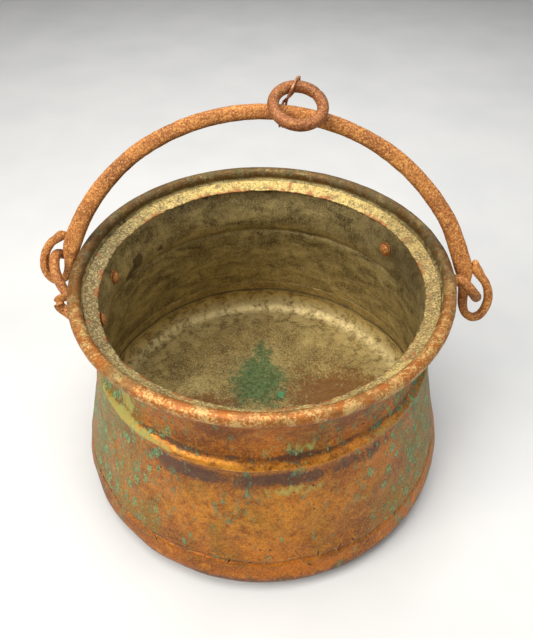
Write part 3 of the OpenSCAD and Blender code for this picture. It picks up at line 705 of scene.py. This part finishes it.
# A flat bottom that turns up in a round corner, with its thin edge lapped up inside the wall
def buildDish():
    around, rings, innerRings = dish["around"], dish["rings"], dish["innerRings"]
    t = pot["sheet"]
    lean = math.radians(pot["cornerLean"])
    turn = np.linspace(-math.pi / 2, lean, 16)
    lapIn = t + 0.1 * mm
    rOut = np.concatenate([np.linspace(0, cornerC, rings), cornerC + pot["cornerR"] * np.cos(turn[1:])])
    hOut = np.concatenate([np.zeros(rings), pot["cornerR"] + pot["cornerR"] * np.sin(turn[1:])])
    hWall = np.linspace(cornerTopH, pot["seamH"] - 0.02 * mm, 4)[1:]
    hLap = np.linspace(pot["seamH"], pot["lapTop"], 5)
    hStep = np.array([33, 31.5, 30.6, 30.2, 29.6, 28, 26]) * mm     # the floor's beaten edge, a step inwards
    inStep = np.array([0.15, 0.2, 0.35, 1.2, 1.45, 1.3, 0.9]) * mm
    film = 0.12 * mm                                                # the lap is thin above the step
    innerR = pot["cornerR"] - t
    back = turn[::-1]
    r = np.concatenate([rOut, outlineAt(hWall), outlineAt(hLap) - lapIn,
                        outlineAt(hLap[::-1]) - lapIn - film, outlineAt(hStep) - t - inStep,
                        cornerC + innerR * np.cos(back), np.linspace(cornerC, 0, innerRings)[1:]])
    h = np.concatenate([hOut, hWall, hLap, hLap[::-1], hStep,
                        pot["cornerR"] + innerR * np.sin(back), np.full(innerRings - 1, t)])
    count = len(rOut) + 3 + 5
    isInside = np.concatenate([np.zeros(count), np.ones(len(r) - count)])
    azimuth = np.linspace(-math.pi, math.pi, around, endpoint=False)[:, None]
    r, h, isInside = (np.broadcast_to(v[None, :], (around, len(v))) for v in (r, h, isInside))
    azimuth = np.broadcast_to(azimuth, r.shape)
    x, y = r * np.cos(azimuth), r * np.sin(azimuth)
    flat = 1 - smoothStep(r, cornerC - 26 * mm, cornerC)
    place = np.stack([x, y, h * 0], axis=-1)
    rise = flat * (0.45 * mm + 0.45 * mm * roughness(place, 46 * mm, 4, 0.55, 31))
    ring = 0.15 * mm * np.exp(-((r - cornerC + 7 * mm) / (2.2 * mm)) ** 2) * isInside   # planishing line
    out = outOfRound(azimuth) * smoothStep(h, 0, 0.02)
    move = hammered(azimuth, h) * smoothStep(h, 0.004, 0.02)
    ragged = 0.7 * mm * roughness(np.stack([x, y, h * 0 + 3], axis=-1), 9 * mm, 3, 0.6, 8)
    ragged = ragged * (h > pot["lapTop"] - 1 * mm)
    away = r + out + move
    points = np.stack([away * np.cos(azimuth), away * np.sin(azimuth), h + rise + ring + ragged], axis=-1)

    def patch(px, py, a, b):
        return np.exp(-((x - px) / a) ** 2 - ((y - py) / b) ** 2)

    green = patch(-4 * mm, 44 * mm, 36 * mm, 44 * mm) + 0.4 * patch(-2 * mm, 92 * mm, 12 * mm, 16 * mm)
    green = green * isInside
    bare = (patch(74 * mm, 28 * mm, 52 * mm, 34 * mm) + patch(-56 * mm, 14 * mm, 26 * mm, 16 * mm)
            + 0.8 * patch(0, -80 * mm, 90 * mm, 60 * mm)) * isInside
    lapEdge = np.exp(-((h - dish["stepH"]) / (1.1 * mm)) ** 2)
    cornerLine = np.exp(-((r - cornerC - 2 * mm) / (3 * mm)) ** 2) * (h < 0.006) * 0.3
    sides = smoothStep(np.abs((np.degrees(azimuth) + 270) % 360 - 180), 18, 62)
    green = green + 0.9 * sides * (1 - isInside) * smoothStep(h, 0.006, 0.03)
    # painted light on the floor's corner, below the step
    paintedCornerLight = smoothStep(r, cornerC - 30 * mm, cornerC + 8 * mm) * (h < 29 * mm) * isInside
    fields = {"inside": isInside, "greenZone": green, "bareZone": bare, "lightZone": paintedCornerLight,
              "lumpZone": patch(18 * mm, 27 * mm, 6 * mm, 8 * mm) * isInside,
              "cornerZone": np.clip(lapEdge + 0.7 * cornerLine, 0, 1) * isInside,
              # darker towards the bottom of the outside, and painted shadow along its bottom edge
              "darkZone": smoothStep(-h, -0.03, -0.008) * (1 - isInside),
              "sootZone": smoothStep(-h, -0.007, -0.001) * (1 - isInside)}
    quads = gridFaces(around, points.shape[1], True, False)
    makePiece("copperBottomDish", points, quads, bottomFinish, "pot", ["bottom_dish"], fields,
              flip=True)


buildDish()
print("bottom dished")

seamTeeth = {"r": 0.155, "around": 1800, "count": 34, "reach": 4.2 * mm, "width": 1.2 * mm,
             "proud": 0.08 * mm, "slitLong": 2.9 * mm, "slitWide": 0.62 * mm}
# Pores in the joint, where the spelter didn't run: degrees round, height, slant
seamSlits = [(-67.8, 40, 70), (-63.7, 40, -65), (-58.9, 30, 50), (-77, 30, -30), (-74.4, 40, 80),
             (-61.5, 23, 15), (-66.4, 22, -10), (-48, 35, 60), (-99, 37, 75), (-121, 33, -60),
             (-30, 38, 55), (60, 36, 70), (95, 33, -50), (140, 38, 65), (-150, 35, 40)]


# A joint cut into teeth: its line is a rounded square wave round the pot, and small dark-edged
# tongues of spelter stand out where the teeth were hammered shut
def buildSeam():
    n = seamTeeth["around"]
    azimuth = np.linspace(-math.pi, math.pi, n, endpoint=False)
    wave = np.tanh(3.2 * np.sin(azimuth * seamTeeth["count"] + 0.5 * np.sin(azimuth * 5)))
    place = seamTeeth["r"] * np.stack([np.cos(azimuth), np.sin(azimuth), azimuth * 0], axis=-1)
    reach = seamTeeth["reach"] * (1 + 0.25 * roughness(place, 40 * mm, 2, 0.5, 2))
    middle = (pot["seamH"] + pot["seamTop"]) / 2 + reach * wave
    slope = np.gradient(middle, azimuth[1] - azimuth[0]) / seamTeeth["r"]
    across = seamTeeth["width"] / 2 * (1 + 0.35 * roughness(place, 6 * mm, 3, 0.6, 4))
    tilt = np.sqrt(1 + slope ** 2)
    k = np.linspace(0, 2 * math.pi, 10, endpoint=False)[None, :]
    along = -across[:, None] * np.cos(k) * (slope / tilt)[:, None]
    up = across[:, None] * np.cos(k) / tilt[:, None]
    deep = np.sin(k) * np.where(np.sin(k) > 0, seamTeeth["proud"], 1.2 * mm)
    h = middle[:, None] + up
    az = azimuth[:, None] + along / seamTeeth["r"]
    r = outlineAt(h) + outOfRound(az) + hammered(az, h) + deep
    strip = np.stack([r * np.cos(az), r * np.sin(az), h], axis=-1)
    shells = [(strip, gridFaces(n, 10, True, True))]
    for degrees, height, slant in seamSlits:
        a = np.linspace(0, 2 * math.pi, 24, endpoint=False)[:, None]
        k = np.linspace(0.02, 1, 5)[None, :]
        long = seamTeeth["slitLong"] * np.cos(a) * k
        wide = seamTeeth["slitWide"] * np.sin(a) * k * (1 - 0.5 * np.abs(np.cos(a)))
        lean = math.radians(slant)
        hh = height * mm + long * math.sin(lean) + wide * math.cos(lean)
        aa = math.radians(degrees) + (long * math.cos(lean) - wide * math.sin(lean)) / seamTeeth["r"]
        rr = outlineAt(hh) + outOfRound(aa) + hammered(aa, hh) + 0.16 * mm * (1 - k ** 4) - 0.1 * mm * k ** 4
        shells.append((np.stack([rr * np.cos(aa), rr * np.sin(aa), hh], axis=-1),
                       gridFaces(24, 5, True, False)))
    points, quads = joinShells(shells)
    stripCount = strip.shape[0] * strip.shape[1]
    pore = np.concatenate([np.zeros(stripCount), np.ones(len(points) - stripCount)])
    makePiece("crampedSeam", points, quads, spelter, "pot", ["brazed_seam"], {"pore": pore})


buildSeam()


collar = {"wide": 10 * mm, "drop": 4.5 * mm, "thick": 1.4 * mm, "around": 1500}


# A sloping ring of tinned sheet whose inner edge is worn to jagged teeth
def buildCollar():
    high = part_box("rim_collar")[1]
    n = collar["around"]
    azimuth = np.linspace(-math.pi, math.pi, n, endpoint=False)
    place = np.stack([np.cos(azimuth) * 0.12, np.sin(azimuth) * 0.12, azimuth * 0], axis=-1)
    jag = 0.9 * mm * roughness(place, 16 * mm, 3, 0.6, 61) + 0.7 * mm * roughness(place, 3.4 * mm, 2, 0.7, 62)
    s = np.concatenate([np.linspace(0, 1, 12), np.linspace(1, 0, 8)])[None, :]
    upper = np.concatenate([np.ones(12), np.zeros(8)])[None, :]
    edge = 1 - 0.45 * s ** 6
    r = high.x - (collar["wide"] - jag[:, None]) * s + (1 - upper) * 0.6 * mm * (s - 1)
    h = high.z - collar["drop"] * s - (1 - upper) * collar["thick"] * edge
    az = azimuth[:, None] + 0 * s
    place = np.stack([r * np.cos(az), r * np.sin(az), r * 0], axis=-1)
    wave = 0.35 * mm * roughness(place, 12 * mm, 3, 0.6, 63)
    h = h + wave + 0.5 * mm * np.sin(3 * az + 0.6)
    r = r + outOfRound(az)
    points = np.stack([r * np.cos(az), r * np.sin(az), h], axis=-1)
    torn = smoothStep(s, 0.6, 1.0) + 0 * az
    deg = np.degrees(az)
    grey = smoothStep(np.abs(deg), 100, 150) + 0 * s
    # painted highlight on the back of the collar
    backHighlight = smoothStep(np.sin(az), 0.1, 0.9) + 0 * s
    makePiece("tinnedCollar", points, gridFaces(n, 20, True, True), tinnedFinish, "pot",
              ["rim_collar"],
              {"tornEdge": torn, "greyZone": grey, "goldZone": backHighlight}, flip=True)


buildCollar()


# A node whose drawn shape is right keeps it and takes a finish
def finishNode(node, material):
    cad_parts[node].data.materials.clear()
    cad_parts[node].data.materials.append(material)


finishNode("rim_wire", lugRust)
print("seam, collar and rim wire placed")


# Catmull-Rom spline through points that also carry a width and a depth
def splined(points, steps, closed=False):
    p = np.asarray(points, dtype=float)
    n = len(p)
    t = (np.arange(steps) / steps)[None, :, None]
    i = np.arange(n if closed else n - 1)
    pick = (lambda k: p[k % n][:, None, :]) if closed else (lambda k: p[np.clip(k, 0, n - 1)][:, None, :])
    a, b, c, d = pick(i - 1), pick(i), pick(i + 1), pick(i + 2)
    way = 0.5 * (2 * b + (c - a) * t + (2 * a - 5 * b + 4 * c - d) * t ** 2 + (3 * b - a - 3 * c + d) * t ** 3)
    way = way.reshape(-1, p.shape[1])
    return way if closed else np.concatenate([way, p[-1:]])


# Rounded bar along a way of x, y, z, width, depth: |x|^power + |y|^power = 1 across it,
# with domed ends
def barAlong(way, hint, around, power, closed=False, dome=0.5):
    n = len(way)
    if not closed:
        grow = np.array([0.02, 0.35, 0.62, 0.84, 0.96])
        step = np.sqrt(1 - grow ** 2)
        ahead = way[1, :3] - way[0, :3]
        ahead = ahead / np.linalg.norm(ahead)
        behind = way[-1, :3] - way[-2, :3]
        behind = behind / np.linalg.norm(behind)
        start = np.repeat(way[:1], 5, axis=0)
        stop = np.repeat(way[-1:], 5, axis=0)
        start[:, :3] -= ahead * (step * way[0, 4] * dome)[:, None]
        stop[:, :3] += behind * (step[::-1] * way[-1, 4] * dome)[:, None]
        start[:, 3:] *= grow[:, None]
        stop[:, 3:] *= grow[::-1, None]
        way = np.concatenate([start, way, stop])
        n = len(way)
    place = way[:, :3]
    along = np.roll(place, -1, axis=0) - np.roll(place, 1, axis=0)
    if not closed:
        along[0] = place[1] - place[0]
        along[-1] = place[-1] - place[-2]
    along = along / np.linalg.norm(along, axis=1, keepdims=True)
    crossing = np.cross(along, np.asarray(hint, dtype=float))
    crossing = crossing / np.linalg.norm(crossing, axis=1, keepdims=True)
    side = np.cross(crossing, along)
    a = np.linspace(0, 2 * math.pi, around, endpoint=False)
    x = np.sign(np.cos(a)) * np.abs(np.cos(a)) ** (2 / power)
    y = np.sign(np.sin(a)) * np.abs(np.sin(a)) ** (2 / power)
    points = (place[:, None, :] + crossing[:, None, :] * (way[:, 3] / 2)[:, None, None] * x[None, :, None]
              + side[:, None, :] * (way[:, 4] / 2)[:, None, None] * y[None, :, None])
    return points, place


# Rust scale and pits: rough noise in and out from the middle line, and small bites
def scaled(points, middle, depth, size, seed):
    away = points - middle[:, None, :]
    reach = np.linalg.norm(away, axis=2, keepdims=True)
    rough = roughness(points, size, 4, 0.62, seed)[..., None]
    bites = np.clip(grain(points, size * 0.9, seed + 50) - 0.62, 0, None)[..., None] * 2.6
    away = away / np.maximum(reach, 1e-6)
    return points + away * (depth * (rough - bites)) * np.clip(reach / (1 * mm), 0, 1)


def barShell(way, hint, around, power, depth, size, seed, closed=False, dome=0.5):
    points, middle = barAlong(way, hint, around, power, closed, dome)
    points = scaled(points, middle, depth, size, seed)
    quads = gridFaces(len(points), around, closed, True)
    if closed:
        return points, quads
    ends = np.concatenate([points.reshape(-1, 3), middle[:1], middle[-1:]])
    first, last = len(ends) - 2, len(ends) - 1
    k = np.arange(around)
    base = (len(points) - 1) * around
    lid = np.stack([np.full(around, first), (k + 1) % around, k, k], axis=-1)
    back = np.stack([np.full(around, last), base + k, base + (k + 1) % around, base + (k + 1) % around],
                    axis=-1)
    return ends, np.concatenate([quads, lid, back])


bar = {
    "lean": 19.1, "turn": -2.3,          # degrees: back from upright, and about the upright
    "rise": 120.2 * mm,
    "topW": 10 * mm, "topT": 10.5 * mm,
    "endW": 12.8 * mm, "endT": 8.2 * mm,
    "hookW": 6.2,
    "scale": 0.28 * mm,                  # depth of rust scale
}
bailHalf = mouthR + 13.8 * mm
archR = (bailHalf ** 2 + bar["rise"] ** 2) / (2 * bar["rise"])
archC = bar["rise"] - archR
bailOrigin = np.array([1.5 * mm, 9.6 * mm, rimH - 17.8 * mm])


def turnedX(points, degrees):
    c, s = math.cos(math.radians(degrees)), math.sin(math.radians(degrees))
    return points @ np.array([[1, 0, 0], [0, c, s], [0, -s, c]])


def turnedY(points, degrees):
    c, s = math.cos(math.radians(degrees)), math.sin(math.radians(degrees))
    return points @ np.array([[c, 0, -s], [0, 1, 0], [s, 0, c]])


def turnedZ(points, degrees):
    c, s = math.cos(math.radians(degrees)), math.sin(math.radians(degrees))
    return points @ np.array([[c, s, 0], [-s, c, 0], [0, 0, 1]])


# The bail's own plane is leant back, turned and put in its place on the pot
def fromBail(points):
    return turnedZ(turnedX(points, -bar["lean"]), bar["turn"]) + bailOrigin


leftEye = (bailHalf + 6.4 * mm, 13.8 * mm)
rightEye = (bailHalf + 9.5 * mm, -10.3 * mm)
w = bar["hookW"]
leftHook = [[-8.4, 16.6, 5.2, 6], [-6.4, 15.9, 7.6, 7.4], [-2.2, 13.2, 6.6, 7], [3, 9, w, 6.8],
            [7.8, 1.6, w, 6.8], [10, -8.6, w, 6.8], [8, -16.2, w, 6.8], [2.4, -20.4, w, 6.8],
            [-4, -18.6, w, 6.8], [-8.2, -12.2, 6.8, 7.2], [-10.4, -4.4, 8.2, 8.2]]
rightHook = [[-4.4, 25.8, 4.8, 6], [-3, 21.6, 7.6, 7.4], [0.6, 16.6, 6.8, 7], [5.6, 10.6, w, 6.8],
             [9, 2.8, w, 6.8], [9.8, -6, w, 6.8], [6.8, -14.8, w, 6.8], [0.8, -18.4, w, 6.8],
             [-5.6, -14.8, w, 6.8], [-9, -6.4, 6.8, 6.8], [-9.9, 3.6, 7.8, 7], [-10.8, 12.6, 9.8, 7.6]]


def hookWay(hook, eye, hand):
    h = np.asarray(hook, dtype=float) * mm
    return np.stack([hand * (eye[0] + h[:, 0]), h[:, 0] * 0, eye[1] + h[:, 1], h[:, 2], h[:, 3]], axis=-1)


# Arc of a circle, its bar wider towards the ends by the square of the way along
def archWay():
    a0 = math.pi - math.asin((22 * mm - archC) / archR)
    a1 = math.asin((13 * mm - archC) / archR)
    a = np.linspace(a0, a1, 60)
    u = (np.abs(np.cos(a)) / math.cos(a1)) ** 2
    return np.stack([archR * np.cos(a), a * 0, archC + archR * np.sin(a),
                     bar["topW"] + (bar["endW"] - bar["topW"]) * u,
                     bar["topT"] + (bar["endT"] - bar["topT"]) * u], axis=-1)


def buildBail():
    arch = archWay()
    way = np.concatenate([hookWay(leftHook, leftEye, -1), arch[::3][:-1], arch[-1:],
                          hookWay(rightHook, rightEye, 1)[::-1]])
    fine = splined(way, 18)
    n = len(fine)
    bend = fine[:, :3].copy()
    run = np.clip((fine[:, 2] - 30 * mm) / (60 * mm), 0, 1)
    spot = np.stack([fine[:, 0], fine[:, 0] * 0, fine[:, 2]], axis=-1)
    # hand-bent, so never quite flat
    bend[:, 1] += run * 0.8 * mm * roughness(spot, 70 * mm, 2, 0.5, 71)
    bend[:, 2] += run * 0.6 * mm * roughness(spot, 60 * mm, 2, 0.5, 72)
    swell = 1 + 0.05 * roughness(spot, 22 * mm, 3, 0.6, 73)
    fine = np.concatenate([bend, fine[:, 3:] * swell[:, None]], axis=1)
    points, quads = barShell(fine, [0, 1, 0], 40, 3, bar["scale"], 5 * mm, 74)
    makePiece("forgedBail", fromBail(points.reshape(-1, 3)), quads, barRust, "bail", ["bail"])


buildBail()


def eyePoint(eye, hand):
    return fromBail(np.array([[hand * eye[0], 0, eye[1]]]))[0]


leftRoute = [[-16.5, 42, -31], [-5, 41, -28.5], [7, 36.5, -21], [15.5, 29.5, -11], "eye", [16, 6.5, -6.5],
             [11, -3, -14], [4, -9.5, -22], [-4.5, -13, -28], [-12, -13.5, -31]]
rightRoute = [[-11.2, -17.5, -31], [-3.8, -11, -20], [3.6, -5, -8.4], [9, -7.2, -8.4],
              [15.8, -10, -14.6], [22, -6.6, -23.5], "eye", [21.6, 9.6, -28.6], [13, 20, -28.4],
              [1, 30, -28.8], [-14.5, 37.5, -31]]
leftCurl = [[-15.5, -38, -33], [-8, -30.5, -31.5], [0, -23.5, -29.5], [6.5, -19, -27], [10.2, -17.5, -22],
            [9.8, -16, -17.8], [6, -13.6, -17.4], [3, -12.6, -19.5]]
lug = {"rod": 7.4 * mm, "footH": 15 * mm, "footT": 3.4 * mm, "gap": 0.1 * mm, "scale": 0.26 * mm}


# A forged foot: a plate bent to the neck, its outline a rounded block, beaten thin at its rim
def footShell(start, stop, seed):
    rows, columns = 46, 46
    a = np.linspace(0, 2 * math.pi, rows, endpoint=False)[:, None]
    k = np.linspace(0, 1, columns)[None, :]
    face = np.abs(1 - 2 * k)
    reach = np.where(face < 0.5, 1 - 0.04 * (1 - (face / 0.5) ** 2), 1.0)
    reach = reach * np.clip(1.6 * (1 - face), 0, 1) ** 0.5
    out = np.clip((k - 0.32) / 0.36, 0, 1)
    round3 = lambda v: np.sign(v) * np.abs(v) ** 0.62
    middle, half = (start + stop) / 2, (stop - start) / 2
    az = np.radians(middle + half * round3(np.cos(a)) * reach)
    h = lugH + lug["footH"] / 2 * round3(np.sin(a)) * reach
    base = outlineAt(h) + outOfRound(az) + lug["gap"] + 0.5 * mm
    edge = np.clip(reach, 0, 1) ** 5
    thick = lug["footT"] * (1.0 - 0.4 * edge) - 0.5 * mm
    spot = np.stack([np.cos(az) * 0.13, np.sin(az) * 0.13, h], axis=-1)
    beaten = 0.45 * mm * roughness(spot, 7 * mm, 3, 0.6, seed)
    r = base + out * (thick + beaten)
    points = np.stack([r * np.cos(az), r * np.sin(az), h], axis=-1)
    return points, gridFaces(rows, columns, True, False)


def rodWay(route, eye, hand, steps):
    place = [eyePoint(eye, hand) if p == "eye" else
             np.array([hand * (mouthR + p[0] * mm), p[1] * mm, rimH + p[2] * mm]) for p in route]
    way = splined(np.asarray(place), steps)
    spot = way.copy()
    wide = lug["rod"] * (1 + 0.05 * roughness(spot, 12 * mm, 3, 0.6, 81))[:, None]
    return np.concatenate([way, wide, wide], axis=1)


def buildLug(name, route, eye, hand, feet, node, extra):
    shells = [barShell(rodWay(route, eye, hand, 14), [hand, 0, -1], 28, 2, lug["scale"], 4 * mm, 90 + hand)]
    shells += [footShell(start, stop, 100 + i + 5 * hand) for i, (start, stop) in enumerate(feet)]
    points, quads = joinShells(shells + extra)
    makePiece(name, points, quads, lugRust, "pot", [node])


curlWay = splined(np.array([[-mouthR - p[0] * mm, p[1] * mm, rimH + p[2] * mm, 3 * mm, 8 * mm]
                            for p in leftCurl]), 12)
taper = np.linspace(0, 1, len(curlWay))[:, None]
curlWay[:, 4:5] = curlWay[:, 4:5] * (1 - 0.35 * smoothStep(taper, 0.5, 1.0))
curl = barShell(curlWay, [0, 0.4, 1], 24, 3, 0.2 * mm, 4 * mm, 97)
buildLug("leftLugIron", leftRoute, leftEye, -1, [[158, 173], [183, 199]], "left_lug", [curl])
buildLug("rightLugIron", rightRoute, rightEye, 1, [[-27, -5], [12, 35]], "right_lug", [])


# A hand-headed rivet: shank through plate, wall and rove, a beaten dome outside and a low one inside
def rivetShell(azimuth, seed):
    r, head, lift = 2.5 * mm, 5 * mm, 0.7 * mm
    inX = -(2 + 0.5 + 1.2 + 0.1) * mm
    outX = lug["gap"] + lug["footT"] + lift
    a = np.radians(np.linspace(2, 90, 9))
    b = np.radians(np.linspace(0, 88, 9))
    rr = np.concatenate([head * np.sin(a), [r, r], head * np.cos(b)])
    xx = np.concatenate([inX - 2.8 * mm * np.cos(a), [inX, outX], outX + 2.8 * mm * np.sin(b)])
    k = np.linspace(0, 2 * math.pi, 40, endpoint=False)[:, None]
    x = np.broadcast_to(xx[None, :], (40, len(xx)))
    y, z = rr[None, :] * np.cos(k), rr[None, :] * np.sin(k)
    spot = np.stack([x, y, z], axis=-1)
    lumps = 1 + 0.09 * roughness(spot + seed, 5 * mm, 3, 0.6, seed)
    y, z = y * lumps, z * lumps
    wall = float(outlineAt(np.array([lugH]))[0]) + float(outOfRound(math.radians(azimuth)))
    points = turnedZ(np.stack([x + wall, y, z + lugH], axis=-1).reshape(-1, 3), azimuth)
    return points, gridFaces(40, len(xx), True, False)


def buildRivets(name, places, node):
    points, quads = joinShells([rivetShell(a, 110 + i) for i, a in enumerate(places)])
    makePiece(name, points, quads, headRust, "pot", [node], flip=True)


buildRivets("leftRivetPair", [168, 190.7], "left_rivets")
buildRivets("rightRivetPair", [-22, 31], "right_rivets")
for node in ("left_roves", "right_roves"):
    finishNode(node, lugRust)
print("bail, lugs and rivets forged")


ring = {"r": 16.6 * mm, "rod": 3.9 * mm, "shift": 20.6 * mm, "tilt": 40.8, "forward": 2.7 * mm, "split": 48.0}
barReach = max(bar["topW"], bar["topT"]) / 2 * 1.25
ringH = barReach + ring["rod"] + 0.5 * mm
ringS = math.sqrt(archR ** 2 - ring["shift"] ** 2) + archC


def fromRing(points):
    lean = math.degrees(math.asin(ring["shift"] / archR))
    return fromBail(turnedY(turnedX(points, ring["tilt"]), lean) + np.array([ring["shift"], 0, ringS]))


# A rod bent into a ring whose two ends almost meet
def buildRing():
    gap = math.radians(1.6)
    a = np.linspace(gap / 2, 2 * math.pi - gap / 2, 150) + math.radians(ring["split"])
    way = np.stack([ring["r"] * np.cos(a), ring["r"] * np.sin(a) - ring["forward"], a * 0 + ringH,
                    a * 0 + 2 * ring["rod"],
                    a * 0 + 2 * ring["rod"]], axis=-1)
    way[:, 3:] *= (1 + 0.03 * roughness(way[:, :3], 14 * mm, 2, 0.5, 121))[:, None]
    ends = np.minimum(np.arange(150), np.arange(150)[::-1])
    way[:, 3:] *= (1 - 0.1 * np.exp(-ends / 2.0))[:, None]
    points, quads = barShell(way, [0, 0, 1], 40, 2, 0.11 * mm, 4 * mm, 122, dome=0.1)
    makePiece("hangingRingIron", fromRing(points.reshape(-1, 3)), quads, ringRust, "ring",
              ["hanging_ring"])


buildRing()

wire = {"d": 1.8 * mm, "under": 0.6 * mm}


# A bent wire: round the ring's back, down behind the bar, under it and up in front
def buildTie():
    off = ring["rod"] + wire["d"] / 2 + 0.3 * mm
    back = math.sqrt(ring["r"] ** 2 - 16 * mm * mm) - ring["forward"]
    front = -math.sqrt(ring["r"] ** 2 - 81 * mm * mm) - ring["forward"]
    low = barReach + wire["d"] / 2 + wire["under"]
    leg = 1.1 * mm
    x, h = -9 * mm, ringH
    way = [[x, front + off * 0.68, h - off * 0.78], [x + leg, front + off + 0.2 * mm, h - off - 3.5 * mm],
           [x + leg, -low - 0.6 * mm, -3.8 * mm], [x + leg, 0, -low], [x + leg, low * 0.8, -low * 0.62],
           [x + leg, low + 0.2 * mm, 1 * mm], [-7.2 * mm, back - off - 1.9 * mm, h - 2.2 * mm],
           [-5.4 * mm, back - off + 0.3 * mm, h + 3.1 * mm], [-4 * mm, back, h + off + 0.1 * mm],
           [-2.4 * mm, back + 5 * mm, h + 3.6 * mm], [-1.6 * mm, back + 7.9 * mm, h + 0.4 * mm],
           [-2.2 * mm, back + 6 * mm, h - 3.6 * mm], [-4 * mm, back + 1 * mm, h - off - 0.5 * mm],
           [-7 * mm, back - 3.6 * mm, h - off - 1.6 * mm], [x - leg, low + 0.2 * mm, 0.4 * mm],
           [x - leg, low * 0.8, -low * 0.62], [x - leg, 0, -low], [x - leg, -low - 0.6 * mm, -3.8 * mm],
           [x - leg, front + off + 0.2 * mm, h - off - 3.5 * mm]]
    smooth = splined(np.array(way), 10, closed=True)
    thick = np.full((len(smooth), 2), wire["d"])
    points, quads = barShell(np.concatenate([smooth, thick], axis=1), [1, 0.05, 0.02], 20, 2, 0.05 * mm,
                             2 * mm, 131, True)
    makePiece("bentTieWire", fromRing(points.reshape(-1, 3)), quads, brightWire, "ring", ["tie_wire"])


buildTie()
print("ring and tie wire hung")


def floorFinish():
    bench = Bench("paleFloor")
    cloud = bench.cloud(0.12, 3, 0.5, 0.1)
    tone = bench.shades(cloud, [(0.3, paint(206, 206, 204)), (0.7, paint(214, 213, 210))])
    return bench.finish(tone, (0.75 + cloud * 0.05).held(), (cloud * 0).held(),
                        bench.bump(cloud, 0.0004, 0.2))


floorMesh = bpy.data.meshes.new("floor")
reach = 2.2
floorMesh.from_pydata([(-reach, -reach, 0), (reach, -reach, 0), (reach, reach, 0), (-reach, reach, 0)],
                      [], [(0, 1, 2, 3)])
floorMesh.materials.append(floorFinish())
floor = bpy.data.objects.new("floor", floorMesh)
bpy.context.scene.collection.objects.link(floor)
floor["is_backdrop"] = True

lights = {
    "key": {"place": (-0.85, -0.6, 1.1), "size": (0.7, 0.7), "power": 17, "colour": (1.0, 0.97, 0.93)},
    "fill": {"place": (0.95, -0.45, 0.85), "size": (0.9, 0.9), "power": 4.5, "colour": (0.94, 0.97, 1.0)},
    "back": {"place": (0.1, 1.0, 0.95), "size": (1.3, 0.6), "power": 5, "colour": (0.97, 0.98, 1.0)},
    "top": {"place": (-0.1, -0.1, 1.3), "size": (0.7, 0.7), "power": 13, "colour": (1.0, 0.99, 0.97)},
    "room": 0.2,
}


def areaLight(name, place, size, power, colour):
    light = bpy.data.lights.new(name, "AREA")
    light.shape = "RECTANGLE"
    light.size, light.size_y = size
    light.energy = power
    light.color = colour
    lamp = bpy.data.objects.new(name, light)
    lamp.location = place
    aim = Vector((0, 0, 0.09)) - Vector(place)
    lamp.rotation_euler = aim.to_track_quat("-Z", "Y").to_euler()
    bpy.context.scene.collection.objects.link(lamp)
    lamp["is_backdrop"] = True


for name in ("key", "fill", "back", "top"):
    areaLight(name + "Light", **lights[name])

world = bpy.data.worlds.new("softRoom")
world.use_nodes = True
room = world.node_tree.nodes["Background"]
room.inputs["Color"].default_value = (0.93, 0.95, 1.0, 1)
room.inputs["Strength"].default_value = lights["room"]
bpy.context.scene.world = world

view = {"place": (3.4 * mm, -319.8 * mm, rimH + 263.5 * mm), "tip": 45.2, "lens": 31.55}
camera = bpy.data.cameras.new("camera")
camera.lens = view["lens"]
camera.sensor_width = 36
camera.sensor_fit = "AUTO"
camera.clip_start = 0.01
camera.clip_end = 20
cameraObject = bpy.data.objects.new("camera", camera)
cameraObject.location = view["place"]
cameraObject.rotation_euler = (math.radians(view["tip"]), 0, 0)
bpy.context.scene.collection.objects.link(cameraObject)
bpy.context.scene.camera = cameraObject
bpy.context.scene.view_settings.view_transform = "Standard"

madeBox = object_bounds()
moved = [round((b - a) / mm, 2) for a, b in zip([*cadBox[0], *cadBox[1]], [*madeBox[0], *madeBox[1]])]
print("the made box differs from the drawn box by", moved, "mm")
